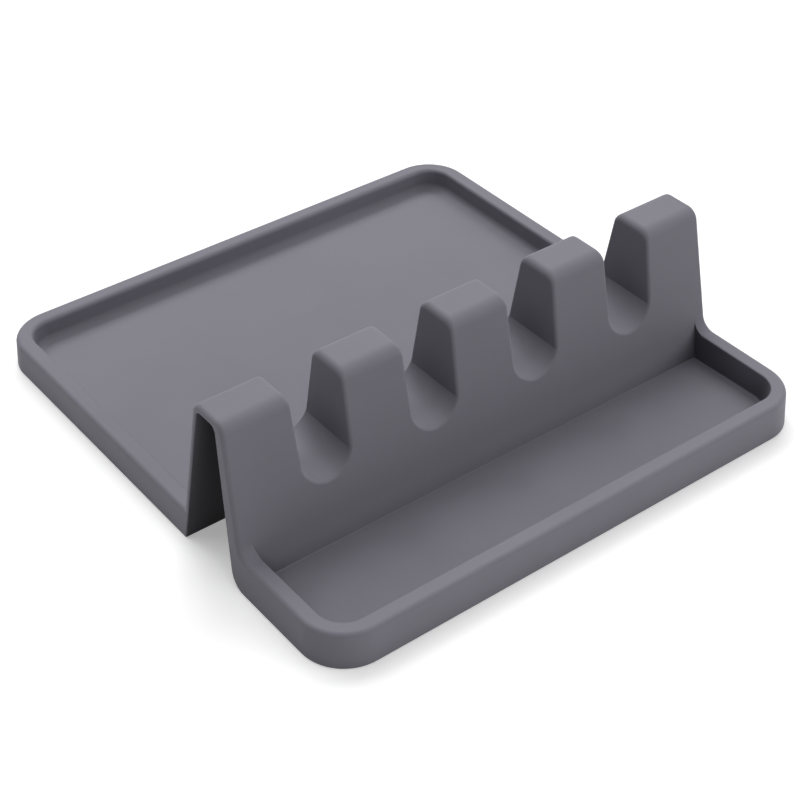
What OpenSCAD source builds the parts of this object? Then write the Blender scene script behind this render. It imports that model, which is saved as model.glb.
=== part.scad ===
// Spoon rest moulded in soft silicone: two shallow trays joined by an upright rack with four slots.
// Origin: centre of the footprint, on the table. +X along the rack, +Y to the deep rear tray, +Z up.
// Lengths are in millimetres. A draft or lean share is a slope: sideways millimetres for each millimetre
// of height. The tray and tunnel shares are parts of the whole depth.

/* [Overall size] */
// Width along the rack, at the table
width = 200; // [190:1:230]
// Depth over both trays, at the table
depth = 204; // [200:1:230]
// Height of the rack
height = 58.5; // [54:0.5:66]
// Lean of every outer face, inwards as it rises
draft_share = 0.07; // [0.04:0.005:0.12]

/* [Rear tray] */
// Share of the depth from the back edge to the rack's rear wall
rear_tray_share = 0.6093; // [0.58:0.0001:0.63]
// Height of the rear rim
rear_rim_height = 11.2; // [9:0.1:15]
// Flat width of the rear rim, its roundings included
rear_rim_width = 6.5; // [5:0.1:7]

/* [Front tray] */
// Height of the front rim
front_rim_height = 13.2; // [10:0.1:15]
// Flat width of the front rim, its roundings included
front_rim_width = 5.6; // [5:0.1:7]
// Radius of the hollow curve from the floor to the rack
front_wall_fillet = 9; // [5:0.5:12]
// Radius of the hollow curve that lifts each rim end to the rack
rim_end_fillet = 7.4; // [4:0.2:10]

/* [Both trays] */
// Radius of the outer corners in plan, at the table
corner_radius = 16; // [15:0.5:22]
// Thickness of the floors
floor_thickness = 3; // [2:0.1:4]
// Rounding along both edges of a rim
rim_rounding = 2; // [1:0.1:2.3]
// Radius of the curve between a rim and its floor
well_fillet = 3; // [1.5:0.1:4]
// Radius of the curve between the rear floor and the rack
rear_wall_fillet = 4; // [2:0.5:6]

/* [Rack] */
// Share of the depth that the tunnel under the rack takes, at the table
tunnel_share = 0.1333; // [0.125:0.0001:0.15]
// Thickness of the rear wall
rear_wall_thickness = 2.4; // [2:0.1:4]
// Thickness of the front wall at the table
front_wall_thickness = 6.6; // [5:0.1:8]
// Thickness of the finger tops
crown_thickness = 2.4; // [2:0.1:4]
// Lean of the rear wall
rear_lean_share = 0.162; // [0.12:0.002:0.17]
// Lean of the front wall's hidden face
tunnel_lean_share = 0.148; // [0.12:0.002:0.17]
// Lean of the front wall's visible face
front_lean_share = 0.19; // [0.16:0.002:0.2]
// Rounding along the rear top edge
rear_top_rounding = 2.5; // [1.5:0.1:2.6]
// Rounding along the front top edge
front_top_rounding = 4.7; // [2:0.1:4.8]
// Rounding of the underside where the front wall turns into the front tray
underside_bend = 6.5; // [3:0.5:6.5]

/* [Slots] */
// Distance from one slot to the next
slot_pitch = 42.4; // [40:0.1:46]
// Radius of the round slot bottom
slot_radius = 9.4; // [7:0.1:11]
// Height of the slot bottom above the table
slot_bottom_height = 24.3; // [20:0.1:30]
// Widening of each slot side as it rises
slot_flare_share = 0.022; // [0:0.002:0.05]
// Rounding of the finger tops' ends
finger_rounding = 3; // [1:0.1:4]
// Thickness of the channel under and beside each slot
channel_thickness = 2.5; // [2:0.1:3.5]

/* [Hidden] */
$fn = 96;
silicone = [0.235, 0.235, 0.25];

slot_count = 4;
half_width = width / 2;
back_y = depth / 2;
front_y = -depth / 2;
arc_overlap = 0.002;
tunnel_overlap = 0.15;
corner_reach_share = 1.1;
past_share = 1.2;
past_height = height * past_share;
past_width = width * past_share;
past_depth = depth * past_share;
below = -height * (past_share - 1);

// Where each face of the rack crosses a height z
rear_foot_y = back_y - depth * rear_tray_share;
tunnel_foot_y = rear_foot_y - depth * tunnel_share;
front_foot_y = tunnel_foot_y - front_wall_thickness;
function rear_outer_y(z) = rear_foot_y + rear_wall_thickness - rear_lean_share * z;
function rear_inner_y(z) = rear_foot_y - rear_lean_share * z;
function front_inner_y(z) = tunnel_foot_y + tunnel_lean_share * z;
function front_outer_y(z) = front_foot_y + front_lean_share * z;
function end_x(z) = half_width - draft_share * z;

cavity_height = height - crown_thickness;
cavity_rounding = (rear_inner_y(cavity_height) - front_inner_y(cavity_height)) / 4;
slot_centre_z = slot_bottom_height + slot_radius;
first_slot_x = -slot_pitch * (slot_count - 1) / 2;
slots = [for (i = [0 : slot_count - 1]) first_slot_x + slot_pitch * i];

// Plan geometry of a rounded corner: c is the corner, a and b lie on its two sides
function unit(v) = v / norm(v);
function half_angle(c, a, b) = acos(unit(a - c) * unit(b - c)) / 2;
function touch_point(c, a, b, r) = c + unit(a - c) * r / tan(half_angle(c, a, b));
function arc_centre(c, a, b, r) = c + unit(unit(a - c) + unit(b - c)) * r / sin(half_angle(c, a, b));

// Area between a corner and the arc that rounds it, reaching a little past the corner's two sides.
// Cut off outside corners, added to inside ones.
module corner_area(c, a, b, r) {
    centre = arc_centre(c, a, b, r);
    difference() {
        polygon([
            centre + (c - centre) * corner_reach_share,
            centre + (touch_point(c, a, b, r) - centre) * corner_reach_share,
            centre,
            centre + (touch_point(c, b, a, r) - centre) * corner_reach_share
        ]);
        translate(centre) circle(r = r + arc_overlap);
    }
}

// A section drawn as [y, z], carried along X, centred
module along_x(length) {
    rotate([90, 0, 90]) linear_extrude(height = length, center = true) children();
}

// An elevation drawn as [x, z], carried along Y, centred
module along_y(length) {
    rotate([90, 0, 0]) linear_extrude(height = length, center = true) children();
}

// Outside of the rack, seen from its end
module rack_section() {
    rear_foot = [rear_outer_y(0), 0];
    rear_top = [rear_outer_y(height), height];
    front_top = [front_outer_y(height), height];
    front_foot = [front_outer_y(0), 0];
    difference() {
        polygon([rear_foot, rear_top, front_top, front_foot]);
        corner_area(rear_top, rear_foot, front_top, rear_top_rounding);
        corner_area(front_top, rear_top, front_foot, front_top_rounding);
    }
}

// Everything between the hidden faces of the two walls
module between_walls() {
    polygon([
        [rear_inner_y(below), below],
        [rear_inner_y(past_height), past_height],
        [front_inner_y(past_height), past_height],
        [front_inner_y(below), below]
    ]);
}

// The tunnel, seen from its end, cut slightly into both walls
module tunnel_section() {
    rear_low = [rear_inner_y(below) + tunnel_overlap, below];
    rear_high = [rear_inner_y(cavity_height) + tunnel_overlap, cavity_height];
    front_high = [front_inner_y(cavity_height) - tunnel_overlap, cavity_height];
    front_low = [front_inner_y(below) - tunnel_overlap, below];
    difference() {
        polygon([rear_low, rear_high, front_high, front_low]);
        corner_area(rear_high, rear_low, front_high, cavity_rounding);
        corner_area(front_high, rear_high, front_low, cavity_rounding);
    }
}

// One slot, widened on every side by grow
module slot_elevation(grow) {
    radius = slot_radius + grow;
    flared = radius + slot_flare_share * (past_height - slot_centre_z);
    translate([0, slot_centre_z]) circle(r = radius);
    polygon([
        [-radius, slot_centre_z],
        [radius, slot_centre_z],
        [flared, past_height],
        [-flared, past_height]
    ]);
}

// The rounded tips of the two fingers beside a slot
module slot_tips() {
    reach = slot_radius + slot_flare_share * (height - slot_centre_z);
    for (side = [-1, 1]) {
        tip = [side * reach, height];
        low = [side * slot_radius, slot_centre_z];
        beyond = [side * (reach + slot_radius), height];
        corner_area(tip, low, beyond, finger_rounding);
    }
}

// The rack seen from the front: five fingers over a solid band
module rack_elevation() {
    difference() {
        polygon([
            [-end_x(0), 0],
            [end_x(0), 0],
            [end_x(height), height],
            [-end_x(height), height]
        ]);
        for (side = [-1, 1]) {
            tip = [side * end_x(height), height];
            corner_area(tip, [side * end_x(0), 0], [0, height], finger_rounding);
        }
        for (x = slots) {
            translate([x, 0]) slot_elevation(0);
            translate([x, 0]) slot_tips();
        }
    }
}

// The hollow behind the fingers, open at both ends of the rack
module hollow_elevation() {
    difference() {
        translate([-past_width / 2, below]) square([past_width, past_height - below]);
        for (x = slots) {
            translate([x, 0]) slot_elevation(channel_thickness);
        }
    }
}

// Rim and strip of floor in section: [inwards from the outer foot, z]
module rim_section(rim_height, rim_width) {
    outer_foot = [0, 0];
    outer_top = [draft_share * rim_height, rim_height];
    inner_top = outer_top + [rim_width, 0];
    inner_foot = [inner_top.x + draft_share * (rim_height - floor_thickness), floor_thickness];
    floor_end = [corner_radius, floor_thickness];
    difference() {
        polygon([outer_foot, outer_top, inner_top, inner_foot, floor_end, [corner_radius, 0]]);
        corner_area(outer_top, outer_foot, inner_top, rim_rounding);
        corner_area(inner_top, outer_top, inner_foot, rim_rounding);
    }
    corner_area(inner_foot, inner_top, floor_end, well_fillet);
}

// A straight length of rim whose outer foot lies on x = half_width, from y = 0 to y = length
module side_rim(rim_height, rim_width, length) {
    translate([half_width, length, 0])
        rotate([90, 0, 0])
            linear_extrude(height = length)
                mirror([1, 0]) rim_section(rim_height, rim_width);
}

// A quarter turn of rim about the corner's axis, from +X to +Y
module corner_rim(rim_height, rim_width) {
    rotate_extrude(angle = 90)
        translate([corner_radius, 0]) mirror([1, 0]) rim_section(rim_height, rim_width);
}

// A tray open towards y = 0, with its end rim at y = length
module open_tray(rim_height, rim_width, length) {
    straight = length - corner_radius;
    for (side = [0, 1]) {
        mirror([side, 0, 0]) {
            side_rim(rim_height, rim_width, straight);
            translate([half_width - corner_radius, straight, 0]) corner_rim(rim_height, rim_width);
        }
    }
    translate([-half_width + corner_radius, straight, 0])
        rotate([90, 0, 90])
            linear_extrude(height = width - 2 * corner_radius)
                translate([corner_radius, 0]) mirror([1, 0]) rim_section(rim_height, rim_width);
    translate([-half_width + corner_radius, 0, 0])
        cube([width - 2 * corner_radius, straight, floor_thickness]);
}

// Half the width of the floor between the side rims
function floor_half(rim_height, rim_width) =
    half_width - rim_width - draft_share * (rim_height * 2 - floor_thickness);

module rear_tray() {
    wall_high = [rear_outer_y(height), height];
    floor_corner = [rear_outer_y(floor_thickness), floor_thickness];
    color(silicone)
        difference() {
            union() {
                translate([0, rear_inner_y(height), 0])
                    open_tray(rear_rim_height, rear_rim_width, back_y - rear_inner_y(height));
                along_x(2 * floor_half(rear_rim_height, rear_rim_width))
                    corner_area(floor_corner, wall_high, [back_y, floor_thickness], rear_wall_fillet);
            }
            along_x(past_width)
                polygon([
                    [rear_outer_y(below), below],
                    [rear_outer_y(past_height), past_height],
                    [front_y, past_height],
                    [front_y, below]
                ]);
        }
}

module rack_rear_wall() {
    color(silicone)
        intersection() {
            along_x(past_width)
                intersection() {
                    rack_section();
                    polygon([
                        [rear_inner_y(below), below],
                        [rear_inner_y(past_height), past_height],
                        [back_y, past_height],
                        [back_y, below]
                    ]);
                }
            along_y(past_depth) rack_elevation();
        }
}

module rack_crown() {
    color(silicone)
        difference() {
            intersection() {
                along_x(past_width)
                    intersection() {
                        rack_section();
                        between_walls();
                    }
                along_y(past_depth) rack_elevation();
            }
            intersection() {
                along_x(past_width) tunnel_section();
                along_y(past_depth) hollow_elevation();
            }
        }
}

module rack_front_wall() {
    foot = [front_inner_y(0), 0];
    high = [front_inner_y(height), height];
    color(silicone)
        intersection() {
            along_x(past_width)
                difference() {
                    intersection() {
                        rack_section();
                        polygon([
                            [front_inner_y(below), below],
                            [front_inner_y(past_height), past_height],
                            [front_y, past_height],
                            [front_y, below]
                        ]);
                    }
                    corner_area(foot, high, [front_outer_y(0), 0], underside_bend);
                }
            along_y(past_depth) rack_elevation();
        }
}

// The side rims' outline in elevation, carried up past the rim for the swept ends
module rim_end_elevation() {
    low = front_rim_height - rim_rounding;
    top = front_rim_height + rim_end_fillet;
    inner = end_x(front_rim_height) - front_rim_width;
    for (side = [-1, 1]) {
        polygon([
            [side * end_x(low), low],
            [side * end_x(top), top],
            [side * inner, top],
            [side * inner, low]
        ]);
    }
}

module front_tray() {
    wall_high = [front_outer_y(height), height];
    floor_corner = [front_outer_y(floor_thickness), floor_thickness];
    rim_corner = [front_outer_y(front_rim_height), front_rim_height];
    color(silicone)
        difference() {
            union() {
                rotate([0, 0, 180])
                    translate([0, -front_outer_y(height), 0])
                        open_tray(front_rim_height, front_rim_width, front_outer_y(height) - front_y);
                along_x(2 * floor_half(front_rim_height, front_rim_width))
                    corner_area(floor_corner, wall_high, [front_y, floor_thickness], front_wall_fillet);
                intersection() {
                    along_x(past_width)
                        corner_area(rim_corner, wall_high, [front_y, front_rim_height], rim_end_fillet);
                    along_y(past_depth) rim_end_elevation();
                }
            }
            along_x(past_width)
                polygon([
                    [front_outer_y(below), below],
                    [front_outer_y(past_height), past_height],
                    [back_y, past_height],
                    [back_y, below]
                ]);
        }
}

rear_tray();
rack_rear_wall();
rack_crown();
rack_front_wall();
front_tray();
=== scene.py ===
import math

import bmesh
import bpy
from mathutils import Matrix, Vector


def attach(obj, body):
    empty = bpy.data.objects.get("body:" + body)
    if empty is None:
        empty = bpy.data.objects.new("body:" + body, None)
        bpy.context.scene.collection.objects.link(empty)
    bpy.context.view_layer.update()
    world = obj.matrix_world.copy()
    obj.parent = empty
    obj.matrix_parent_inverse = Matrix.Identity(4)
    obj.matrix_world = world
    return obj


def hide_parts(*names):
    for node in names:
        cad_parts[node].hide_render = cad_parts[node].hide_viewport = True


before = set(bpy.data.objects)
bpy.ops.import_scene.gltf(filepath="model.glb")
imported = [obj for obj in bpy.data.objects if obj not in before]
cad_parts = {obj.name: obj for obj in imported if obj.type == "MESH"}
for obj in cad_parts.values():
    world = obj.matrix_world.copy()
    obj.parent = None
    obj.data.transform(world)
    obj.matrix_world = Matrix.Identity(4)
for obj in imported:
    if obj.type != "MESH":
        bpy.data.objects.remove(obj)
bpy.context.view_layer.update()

mm = 0.001

# Sizes of the rest. A share is a slope: how far a face leans sideways for each length that it rises.
half_width = 100 * mm
front_y = -102 * mm
back_y = 102 * mm
rack_height = 58.5 * mm
draft_share = 0.07
end_draft_share = 0.045
floor_thickness = 3 * mm
corner_radius = 16 * mm

front_rim_height = 13.2 * mm
front_rim_width = 5.6 * mm
rear_rim_height = 11.2 * mm
rear_rim_width = 6.1 * mm

# The rack: places of its faces at the table, their lean, and its thin top
rear_foot_y = -19.9 * mm
tunnel_rear_y = -22.3 * mm
tunnel_front_y = -49.5 * mm
front_foot_y = -56.1 * mm
rear_lean_share = 0.162
tunnel_lean_share = 0.148
front_lean_share = 0.19
crown_thickness = 2.4 * mm
cavity_height = rack_height - crown_thickness

# The four slots, and the channels that carry their bottoms across the tunnel
slot_count = 4
slot_pitch = 42.4 * mm
slot_radius = 9 * mm
slot_bottom_height = 24.9 * mm
slot_flare_share = 0.022
slot_crease = math.radians(14)
slot_cutter_height = 1.1 * rack_height
channel_thickness = 2.5 * mm

# Curves of the section, which run straight along the rest
front_wall_fillet = 0.3 * mm
rim_sweep = 5 * mm
front_top_rounding = 4.7 * mm
rear_top_rounding = 3.8 * mm
cavity_rounding = 2.4 * mm
underside_bend = 6.5 * mm

# Roundings of the other edges, by the place of the edge
rim_outer_rounding = 1.7 * mm
front_rim_inner_rounding = 0.5 * mm
rear_side_rim_inner_rounding = 1.1 * mm
back_rim_inner_rounding = 2 * mm
front_well_fillet = 1.2 * mm
rear_well_fillet = 2.8 * mm
rear_rim_fillet = 2.5 * mm
slot_rounding = 0.9 * mm
finger_tip_rounding = 3.1 * mm
finger_side_margin = 3.5 * mm
foot_rounding = 0.45 * mm
largest_rounding = 5 * mm

# Fineness of the curves
arc_segments = 10
corner_segments = 16
rounding_segments = 8

# How closely places and directions are compared
merge_distance = 0.005 * mm
near = 0.3 * mm
corner_reach = 1.5 * mm
bend_reach = 1.5 * underside_bend
mostly = 0.9
almost_wholly = 0.99
arc_slack = 0.995
flat_angle = math.radians(0.5)
sharp_angle = math.radians(30)

# Marks on the faces, which tell where a face came from until the edges are rounded
body_mark, slot_mark, channel_mark = 0, 1, 2

# The silicone, with its pattern scales in cells per metre
silicone_colour = (0.2, 0.195, 0.228, 1)
silicone_ior = 1.41
specular_level = 0.25
sheen_weight = 0.06
sheen_roughness = 0.4
least_roughness = 0.56
most_roughness = 0.66
mottle_scale = 45
mottle_strength = 0.02
haze_scale = 18
pore_scale = 2600
pore_depth = 0.02 * mm
grain_strength = 0.35

# Painted shade: hollows are painted darker. Openness is the share of its surroundings that a place sees
# within the reach.
painted_shade_reach = 90 * mm
painted_shade_samples = 12
darkest_shade_openness = 0.22
unshaded_openness = 0.5
darkest_painted_shade = 0.2

# The camera, fitted to the photograph
sensor_width = 36 * mm
lens_length = 79.52 * mm
camera_azimuth = -37.608
camera_elevation = 38.263
view_target = Vector((-2.906, -7.757, 0)) * mm
view_distance = 617.416 * mm
nearest_seen = 10 * mm

# The studio, in metres, with the height of its lamps in degrees
floor_size = 2.4
floor_colour = (0.86, 0.86, 0.86, 1)
floor_boost = 0.33
lamp_distance = 3.3
lamp_size = 2.1
high_lamps = 52
low_lamps = 22

front_lean = math.atan(front_lean_share)
# Where the swept rim ends run out on the rack's front
sweep_top = front_rim_height + rim_sweep * math.cos(front_lean) * math.tan(math.pi / 4 - front_lean / 2)
slot_centre_z = slot_bottom_height + slot_radius
slots = [slot_pitch * (i - (slot_count - 1) / 2) for i in range(slot_count)]


# Where each face of the rack, the rest's ends and the inner side of a well cross a height z
def front_face(z):
    return front_foot_y + front_lean_share * z


def rear_face(z):
    return rear_foot_y - rear_lean_share * z


def tunnel_front_face(z):
    return tunnel_front_y + tunnel_lean_share * z


def tunnel_rear_face(z):
    return tunnel_rear_y - rear_lean_share * z


def end_face(z):
    return half_width - end_draft_share * z


def well_side(z, rim_height, rim_width):
    return end_face(rim_height) - rim_width - draft_share * (rim_height - z)


def side_of_well(y, z):
    """How far out the well's inner side lies from the middle, at a point of the section."""
    if y < tunnel_front_y:
        return well_side(min(z, sweep_top), front_rim_height, front_rim_width)
    return well_side(min(z, rear_rim_height), rear_rim_height, rear_rim_width)


def round_corner(bm, vert, radius):
    """Rounds a corner of a flat outline. A vertex bevel takes the length along a side, not the radius."""
    sides = [edge.other_vert(vert).co - vert.co for edge in vert.link_edges]
    reach = radius / math.tan(sides[0].angle(sides[1]) / 2)
    bmesh.ops.bevel(bm, geom=[vert], offset=reach, offset_type="OFFSET", affect="VERTICES",
                    segments=arc_segments, profile=0.5, material=-1)


def outline(corners):
    """Points of a closed flat outline from its corners (y, z, radius). A radius of 0 keeps a corner sharp."""
    bm = bmesh.new()
    verts = [bm.verts.new((0, y, z)) for y, z, radius in corners]
    bm.faces.new(verts)
    for vert, (y, z, radius) in zip(verts, corners):
        if radius:
            round_corner(bm, vert, radius)
    points = [loop.vert.co.copy() for loop in bm.faces[:][0].loops]
    bm.free()
    return points


def body_corners(at_rim):
    """Corners of the whole section, front foot first. Between the side rims the section has its two floors.
    At a side rim it runs level with the rims' tops instead, and sweeps up to the rack's front."""
    front_top = front_y + draft_share * front_rim_height
    front_inner = front_top + front_rim_width
    front_floor = front_inner + draft_share * (front_rim_height - floor_thickness)
    back_top = back_y - draft_share * rear_rim_height
    back_inner = back_top - rear_rim_width
    back_floor = back_inner - draft_share * (rear_rim_height - floor_thickness)
    front_level = front_rim_height if at_rim else floor_thickness
    rear_level = rear_rim_height if at_rim else floor_thickness
    front_curve = rim_sweep if at_rim else front_wall_fillet
    return [
        (front_y, 0, 0),
        (front_top, front_rim_height, 0),
        (front_inner, front_rim_height, 0),
        (front_floor, front_level, 0),
        (front_face(front_level), front_level, front_curve),
        (front_face(sweep_top), sweep_top, 0),
        (front_face(rack_height), rack_height, front_top_rounding),
        (rear_face(rack_height), rack_height, rear_top_rounding),
        (rear_face(rear_rim_height), rear_rim_height, 0),
        (rear_face(rear_level), rear_level, 0),
        (back_floor, rear_level, 0),
        (back_inner, rear_rim_height, 0),
        (back_top, rear_rim_height, 0),
        (back_y, 0, 0),
        (tunnel_rear_face(0), 0, 0),
        (tunnel_rear_face(cavity_height), cavity_height, cavity_rounding),
        (tunnel_front_face(cavity_height), cavity_height, cavity_rounding),
        (tunnel_front_face(0), 0, underside_bend),
    ]


def extrude_section(bm, face, place):
    """Extrudes an end face and moves each new corner to place(corner)."""
    made = bmesh.ops.extrude_face_region(bm, geom=[face])["geom"]
    bmesh.ops.delete(bm, geom=[face], context="FACES_ONLY")
    for vert in (item for item in made if isinstance(item, bmesh.types.BMVert)):
        vert.co = place(vert.co)
    return next(item for item in made if isinstance(item, bmesh.types.BMFace))


def corner_edges(bm, x, y):
    """The upright edges at both corners that stand near (x, y) and (-x, y)."""
    found = []
    for edge in bm.edges:
        a, b = (vert.co for vert in edge.verts)
        middle = (a + b) / 2
        upright = abs(b.z - a.z) > mostly * (b - a).length
        if upright and math.hypot(abs(middle.x) - x, middle.y - y) < corner_reach:
            found.append(edge)
    return found


def round_corners_in_plan(bm, x, y, radius):
    """Rounds the upright edges near (x, y) and (-x, y)."""
    bmesh.ops.bevel(bm, geom=corner_edges(bm, x, y), offset=radius, offset_type="OFFSET", affect="EDGES",
                    segments=corner_segments, profile=0.5, material=-1)


def body_cage():
    """The rest without its slots: half of it drawn out from the middle section to one end, then mirrored."""
    # Both sections have the same corners in the same order, so a corner of one is moved to that of the other
    floor_section = outline(body_corners(False))
    rim_section = outline(body_corners(True))

    def lift(place):
        nearest = min(range(len(floor_section)), key=lambda i: (floor_section[i].yz - place.yz).length)
        y, z = rim_section[nearest].yz
        return Vector((side_of_well(y, z), y, z))

    bm = bmesh.new()
    middle = bm.faces.new([bm.verts.new(place) for place in floor_section])
    floor_end = extrude_section(bm, middle, lambda place: Vector((side_of_well(*place.yz), *place.yz)))
    rim_start = extrude_section(bm, floor_end, lift)
    extrude_section(bm, rim_start, lambda place: Vector((end_face(place.z), *place.yz)))
    bmesh.ops.remove_doubles(bm, verts=bm.verts, dist=merge_distance)
    bmesh.ops.dissolve_degenerate(bm, edges=bm.edges, dist=merge_distance)
    bmesh.ops.mirror(bm, geom=bm.verts[:] + bm.edges[:] + bm.faces[:], axis="X", merge_dist=merge_distance)
    bmesh.ops.recalc_face_normals(bm, faces=bm.faces)
    bmesh.ops.dissolve_limit(bm, angle_limit=flat_angle, verts=bm.verts, edges=bm.edges)

    for y, rim_height, rim_width in ((front_y, front_rim_height, front_rim_width),
                                     (back_y, rear_rim_height, rear_rim_width)):
        inset = draft_share * rim_height + rim_width
        round_corners_in_plan(bm, half_width, y, corner_radius)
        round_corners_in_plan(bm, half_width - inset, y - math.copysign(inset, y), corner_radius - inset)
    return bm


def slot_corners(radius, top):
    """A round-bottomed upright shape, wider towards its top, with a faint crease where the sides begin."""
    low = slot_centre_z - radius
    rise = radius * (1 - math.sin(slot_crease)) / math.cos(slot_crease)
    corner = radius - rise * math.tan(slot_crease)
    # The two arcs stop just short of each other at the bottom, so that they share no point
    arc = arc_slack * radius / math.cos(slot_crease)
    wide = radius + slot_flare_share * (top - low - rise)
    return [(-radius, low + rise, 0), (-corner, low, arc), (corner, low, arc), (radius, low + rise, 0),
            (wide, top, 0), (-wide, top, 0)]


def slot_prism(corners, front, rear, mark):
    """Copies of a shape (x, z, radius), one at each slot, from the front(z) plane to the rear(z) plane."""
    bm = bmesh.new()
    side = outline(corners)
    for x in slots:
        face = bm.faces.new([bm.verts.new((x + place.y, 0, place.z)) for place in side])
        made = bmesh.ops.extrude_face_region(bm, geom=[face], use_keep_orig=True)["geom"]
        for vert in face.verts:
            vert.co.y = front(vert.co.z)
        for vert in (item for item in made if isinstance(item, bmesh.types.BMVert)):
            vert.co.y = rear(vert.co.z)
    bmesh.ops.recalc_face_normals(bm, faces=bm.faces)
    for face in bm.faces:
        face.material_index = mark
    return bm


def to_object(bm, name):
    """Puts a shape into the scene, with an empty material slot for each mark."""
    mesh = bpy.data.meshes.new(name)
    bm.to_mesh(mesh)
    bm.free()
    for mark in (body_mark, slot_mark, channel_mark):
        mesh.materials.append(None)
    thing = bpy.data.objects.new(name, mesh)
    bpy.context.scene.collection.objects.link(thing)
    return thing


def combine(bm, other, operation):
    """Joins one closed shape to another or cuts it away, and gives the result."""
    body = to_object(bm, "body")
    tool = to_object(other, "tool")
    modifier = body.modifiers.new("combine", "BOOLEAN")
    modifier.operation = operation
    modifier.solver = "EXACT"
    modifier.material_mode = "INDEX"
    modifier.object = tool
    result = bmesh.new()
    result.from_object(body, bpy.context.evaluated_depsgraph_get())
    for thing in (body, tool):
        bpy.data.meshes.remove(thing.data)
    return result


def inset_from_outline(x, y):
    """How far a point lies inside the rounded outline of the rest at the table."""
    across = abs(x) - (half_width - corner_radius)
    along = abs(y) - (back_y - corner_radius)
    if across > 0 and along > 0:
        return corner_radius - math.hypot(across, along)
    return corner_radius - max(across, along)


def between(low, high, share):
    return low + share * (high - low)


def rounding(edge):
    """The radius that an edge of the body is rounded to, by where the edge lies."""
    marks = {face.material_index for face in edge.link_faces}
    a, b = (vert.co for vert in edge.verts)
    x, y, z = (a + b) / 2
    if edge.calc_face_angle() < sharp_angle:
        return 0
    if marks == {body_mark, slot_mark}:
        # The lip of a slot grows rounder where it turns over a finger's tip
        outer = next(face for face in edge.link_faces if face.material_index == body_mark)
        tilt = math.asin(min(1, max(0, outer.normal.z)))
        share = max(0, (tilt - front_lean) / (math.pi / 2 - front_lean))
        return between(slot_rounding, finger_tip_rounding, share)
    if channel_mark in marks:
        return 0

    at_end = abs(abs(x) - end_face(z)) < near
    on_table = max(a.z, b.z) < near
    in_tunnel = tunnel_front_face(z) - near < y < tunnel_rear_face(z) + near and z < cavity_height + near
    in_bend = at_end and z < bend_reach and front_face(0) - near < y < tunnel_front_y + near
    if on_table or in_tunnel or in_bend:
        return foot_rounding
    if at_end or inset_from_outline(x, y) < front_rim_width / 2:
        return rim_outer_rounding

    if y < front_face(z) + near:
        if z > front_rim_height - near:
            # The inner edge of a rim is left sharp where the rim sweeps up to the rack
            return front_rim_inner_rounding if z < front_rim_height + near else 0
        on_floor = z < floor_thickness + near and y < front_face(floor_thickness) - front_wall_fillet
        return front_well_fillet if on_floor else 0

    if z < floor_thickness + near:
        return rear_well_fillet
    crosswise = abs(b.x - a.x) > mostly * (b - a).length
    if crosswise and y < 0:
        return rear_rim_fillet
    turn = math.atan2(abs(b.x - a.x), abs(b.y - a.y)) / (math.pi / 2)
    return between(rear_side_rim_inner_rounding, back_rim_inner_rounding, turn)


def frame_finger_sides(bm):
    """Gives each flat side of a slot a margin, so that the wide roundings of the finger tips turn evenly."""
    sides = [face for face in bm.faces
             if face.material_index == slot_mark and abs(face.normal.x) > almost_wholly]
    foot = min(vert.co.z for face in sides for vert in face.verts) + near
    low = {vert for face in sides for vert in face.verts if vert.co.z < foot}
    bmesh.ops.inset_individual(bm, faces=sides, thickness=finger_side_margin, use_even_offset=True)
    inner = {vert for face in sides for vert in face.verts}
    spokes = [edge for edge in bm.edges if low.intersection(edge.verts) and inner.intersection(edge.verts)]
    bmesh.ops.dissolve_edges(bm, edges=spokes)


def slotted_body():
    """The cage, with four channels built across the tunnel and the slots cut through them."""
    channels = slot_prism(slot_corners(slot_radius + channel_thickness, rack_height - crown_thickness / 2),
                          lambda z: (front_face(z) + tunnel_front_face(z)) / 2,
                          lambda z: (rear_face(z) + tunnel_rear_face(z)) / 2, channel_mark)
    bm = combine(body_cage(), channels, "UNION")
    openings = slot_prism(slot_corners(slot_radius, slot_cutter_height), lambda z: front_foot_y - slot_radius,
                          lambda z: rear_foot_y + slot_radius, slot_mark)
    bm = combine(bm, openings, "DIFFERENCE")
    bmesh.ops.remove_doubles(bm, verts=bm.verts, dist=merge_distance)
    bmesh.ops.dissolve_limit(bm, angle_limit=flat_angle, verts=bm.verts, edges=bm.edges, delimit={"MATERIAL"})
    frame_finger_sides(bm)
    return bm


def mould_body():
    """The whole rest, with its edges rounded. Those that stay sharp are marked, so that shading stops."""
    bm = slotted_body()
    weight = bm.edges.layers.float.new("bevel_weight_edge")
    for edge in bm.edges:
        edge[weight] = rounding(edge) * math.tan(edge.calc_face_angle() / 2) / largest_rounding
        edge.smooth = edge[weight] > 0 or edge.calc_face_angle() < sharp_angle
    for face in bm.faces:
        face.material_index = 0
        face.smooth = True

    mesh = bpy.data.meshes.new("moulded_body")
    bm.to_mesh(mesh)
    bm.free()
    body = bpy.data.objects.new("moulded_body", mesh)
    bpy.context.scene.collection.objects.link(body)
    soften = body.modifiers.new("rounded_edges", "BEVEL")
    soften.limit_method = "WEIGHT"
    soften.width = largest_rounding
    soften.segments = rounding_segments
    soften.use_clamp_overlap = False
    body.modifiers.new("even_shading", "WEIGHTED_NORMAL").keep_sharp = True
    return body


def new_node(tree, kind, place, **values):
    """Adds a shader node and sets its sockets by name."""
    node = tree.nodes.new(kind)
    node.location = place
    for name, value in values.items():
        node.inputs[name.replace("_", " ")].default_value = value
    return node


def reckon(tree, operation, place, *terms):
    """The result of a math node, whose terms are other nodes' outputs or plain numbers."""
    node = new_node(tree, "ShaderNodeMath", place)
    node.operation = operation
    for socket, term in zip(node.inputs, terms):
        if isinstance(term, bpy.types.NodeSocket):
            tree.links.new(term, socket)
        else:
            socket.default_value = term
    return node.outputs["Value"]


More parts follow.
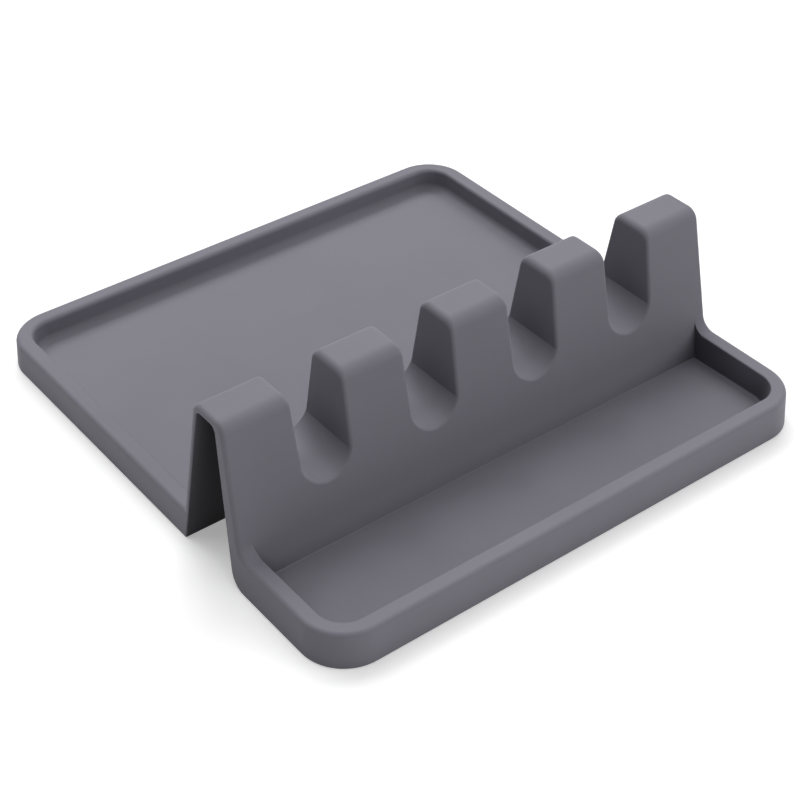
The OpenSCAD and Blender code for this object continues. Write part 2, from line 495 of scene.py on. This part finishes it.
def moulded_surface_group():
    """Colour, roughness and bump of moulded silicone: faint mottling, painted shade in hollows, haze and fine
    grain.
    """
    tree = bpy.data.node_groups.new("moulded_surface", "ShaderNodeTree")
    for name, way, kind in (("Vector", "INPUT", "NodeSocketVector"),
                            ("Colour", "INPUT", "NodeSocketColor"),
                            ("Mottle", "INPUT", "NodeSocketFloat"),
                            ("Grain", "INPUT", "NodeSocketFloat"),
                            ("Colour", "OUTPUT", "NodeSocketColor"),
                            ("Roughness", "OUTPUT", "NodeSocketFloat"),
                            ("Normal", "OUTPUT", "NodeSocketVector")):
        tree.interface.new_socket(name, in_out=way, socket_type=kind)
    link = tree.links.new
    given = new_node(tree, "NodeGroupInput", (-900, 0))
    result = new_node(tree, "NodeGroupOutput", (700, 0))

    cloud = new_node(tree, "ShaderNodeTexNoise", (-650, 250), Scale=mottle_scale, Detail=4, Roughness=0.55)
    link(given.outputs["Vector"], cloud.inputs["Vector"])
    shade = new_node(tree, "ShaderNodeMapRange", (-430, 250), From_Min=0.25, From_Max=0.75)
    link(cloud.outputs["Fac"], shade.inputs["Value"])
    link(reckon(tree, "SUBTRACT", (-650, 500), 1, given.outputs["Mottle"]), shade.inputs["To Min"])
    link(reckon(tree, "ADD", (-650, 700), 1, given.outputs["Mottle"]), shade.inputs["To Max"])

    # Painted shade: the colour is darkened where the surroundings close in, as in the tunnel and the corners
    openness_probe = new_node(tree, "ShaderNodeAmbientOcclusion", (-650, 900), Distance=painted_shade_reach)
    openness_probe.samples = painted_shade_samples
    painted_hollow_shade = new_node(tree, "ShaderNodeMapRange", (-430, 900),
                   From_Min=darkest_shade_openness, From_Max=unshaded_openness, To_Min=darkest_painted_shade)
    link(openness_probe.outputs["AO"], painted_hollow_shade.inputs["Value"])
    # The random mottling times the painted shade of the hollows
    mottle_and_painted_shade = reckon(tree, "MULTIPLY", (-200, 600), shade.outputs["Result"], painted_hollow_shade.outputs["Result"])
    tint = new_node(tree, "ShaderNodeVectorMath", (0, 350))
    tint.operation = "SCALE"
    link(given.outputs["Colour"], tint.inputs[0])
    link(mottle_and_painted_shade, tint.inputs["Scale"])
    link(tint.outputs["Vector"], result.inputs["Colour"])

    haze = new_node(tree, "ShaderNodeTexNoise", (-650, -50), Scale=haze_scale, Detail=3, Roughness=0.5)
    link(given.outputs["Vector"], haze.inputs["Vector"])
    gloss = new_node(tree, "ShaderNodeMapRange", (-430, -50),
                     From_Min=0.3, From_Max=0.7, To_Min=least_roughness, To_Max=most_roughness)
    link(haze.outputs["Fac"], gloss.inputs["Value"])
    link(gloss.outputs["Result"], result.inputs["Roughness"])

    pores = new_node(tree, "ShaderNodeTexNoise", (-650, -350), Scale=pore_scale, Detail=2, Roughness=0.6)
    link(given.outputs["Vector"], pores.inputs["Vector"])
    grain = new_node(tree, "ShaderNodeBump", (-150, -300), Distance=pore_depth)
    link(given.outputs["Grain"], grain.inputs["Strength"])
    link(pores.outputs["Fac"], grain.inputs["Height"])
    link(grain.outputs["Normal"], result.inputs["Normal"])
    return tree


def silicone_material(surface):
    """Matte dark grey silicone."""
    material = bpy.data.materials.new("dark_grey_silicone")
    material.use_nodes = True
    tree = material.node_tree
    shader = tree.nodes["Principled BSDF"]
    shader.inputs["IOR"].default_value = silicone_ior
    shader.inputs["Specular IOR Level"].default_value = specular_level
    shader.inputs["Sheen Weight"].default_value = sheen_weight
    shader.inputs["Sheen Roughness"].default_value = sheen_roughness
    places = new_node(tree, "ShaderNodeTexCoord", (-900, 0))
    skin = new_node(tree, "ShaderNodeGroup", (-500, 0))
    skin.node_tree = surface
    skin.inputs["Colour"].default_value = silicone_colour
    skin.inputs["Mottle"].default_value = mottle_strength
    skin.inputs["Grain"].default_value = grain_strength
    tree.links.new(places.outputs["Object"], skin.inputs["Vector"])
    tree.links.new(skin.outputs["Colour"], shader.inputs["Base Color"])
    tree.links.new(skin.outputs["Roughness"], shader.inputs["Roughness"])
    tree.links.new(skin.outputs["Normal"], shader.inputs["Normal"])
    return material


def seen_directly(tree):
    """1 for rays from the camera, in mirror images and through glass, and 0 for the light on the rest."""
    ray = new_node(tree, "ShaderNodeLightPath", (-1200, -200))
    seen = reckon(tree, "MAXIMUM", (-1000, -200), ray.outputs["Is Camera Ray"], ray.outputs["Is Glossy Ray"])
    return reckon(tree, "MAXIMUM", (-800, -200), seen, ray.outputs["Is Transmission Ray"])


def floor_material():
    """Plain white. The camera sees it a little brighter, so that it is pure white outside the shadow."""
    material = bpy.data.materials.new("white_floor")
    material.use_nodes = True
    tree = material.node_tree
    tree.nodes.clear()
    output = new_node(tree, "ShaderNodeOutputMaterial", (300, 0))
    paper = new_node(tree, "ShaderNodeBsdfDiffuse", (-400, 0), Color=floor_colour)
    glow = new_node(tree, "ShaderNodeEmission", (-400, -200))
    boost = reckon(tree, "MULTIPLY", (-600, -200), seen_directly(tree), floor_boost)
    tree.links.new(boost, glow.inputs["Strength"])
    both = new_node(tree, "ShaderNodeAddShader", (0, 0))
    tree.links.new(paper.outputs["BSDF"], both.inputs[0])
    tree.links.new(glow.outputs["Emission"], both.inputs[1])
    tree.links.new(both.outputs["Shader"], output.inputs["Surface"])
    return material


def towards(azimuth, elevation):
    """The direction to a place around the rest, in degrees. Azimuth 0 is in front, and 90 at the right."""
    turn, rise = math.radians(azimuth), math.radians(elevation)
    return Vector((math.sin(turn) * math.cos(rise), -math.cos(turn) * math.cos(rise), math.sin(rise)))


def soft_light(name, azimuth, elevation, watts):
    """A large round lamp that faces the rest."""
    light = bpy.data.lights.new(name, "AREA")
    light.shape = "DISK"
    light.size = lamp_size
    light.energy = watts
    lamp = bpy.data.objects.new(name, light)
    direction = towards(azimuth, elevation)
    lamp.location = lamp_distance * direction
    lamp.rotation_euler = direction.to_track_quat("Z", "Y").to_euler()
    lamp.visible_camera = False
    bpy.context.scene.collection.objects.link(lamp)


def place_camera():
    """The camera. Blender takes the sensor and the lens in millimetres."""
    back = towards(camera_azimuth, camera_elevation)
    camera = bpy.data.objects.new("camera", bpy.data.cameras.new("camera"))
    camera.data.sensor_width = sensor_width / mm
    camera.data.lens = lens_length / mm
    camera.data.clip_start = nearest_seen
    camera.location = view_target + view_distance * back
    camera.rotation_euler = back.to_track_quat("Z", "Y").to_euler()
    bpy.context.scene.collection.objects.link(camera)
    bpy.context.scene.camera = camera


def build_studio():
    """A plain white floor under soft light, mostly from above and behind, with weaker low light in front."""
    bpy.ops.mesh.primitive_plane_add(size=floor_size)
    floor = bpy.context.object
    floor.name = "floor"
    floor.data.materials.append(floor_material())

    world = bpy.data.worlds.new("studio")
    bpy.context.scene.world = world
    world.use_nodes = True
    tree = world.node_tree
    air = tree.nodes["Background"]
    air.inputs["Color"].default_value = (1, 1, 1, 1)
    tree.links.new(seen_directly(tree), air.inputs["Strength"])

    soft_light("rear_light", azimuth=180, elevation=high_lamps, watts=36)
    soft_light("rear_right_light", azimuth=135, elevation=high_lamps, watts=46)
    soft_light("rear_left_light", azimuth=225, elevation=high_lamps, watts=12)
    soft_light("overhead_light", azimuth=0, elevation=90, watts=27)
    soft_light("front_light", azimuth=0, elevation=low_lamps, watts=21)
    soft_light("front_right_light", azimuth=45, elevation=low_lamps, watts=26)
    bpy.context.scene.view_settings.view_transform = "Standard"


body = mould_body()
body.data.materials.append(silicone_material(moulded_surface_group()))
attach(body, "root")
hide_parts("rear_tray", "rack_rear_wall", "rack_crown", "rack_front_wall", "front_tray")

place_camera()
build_studio()
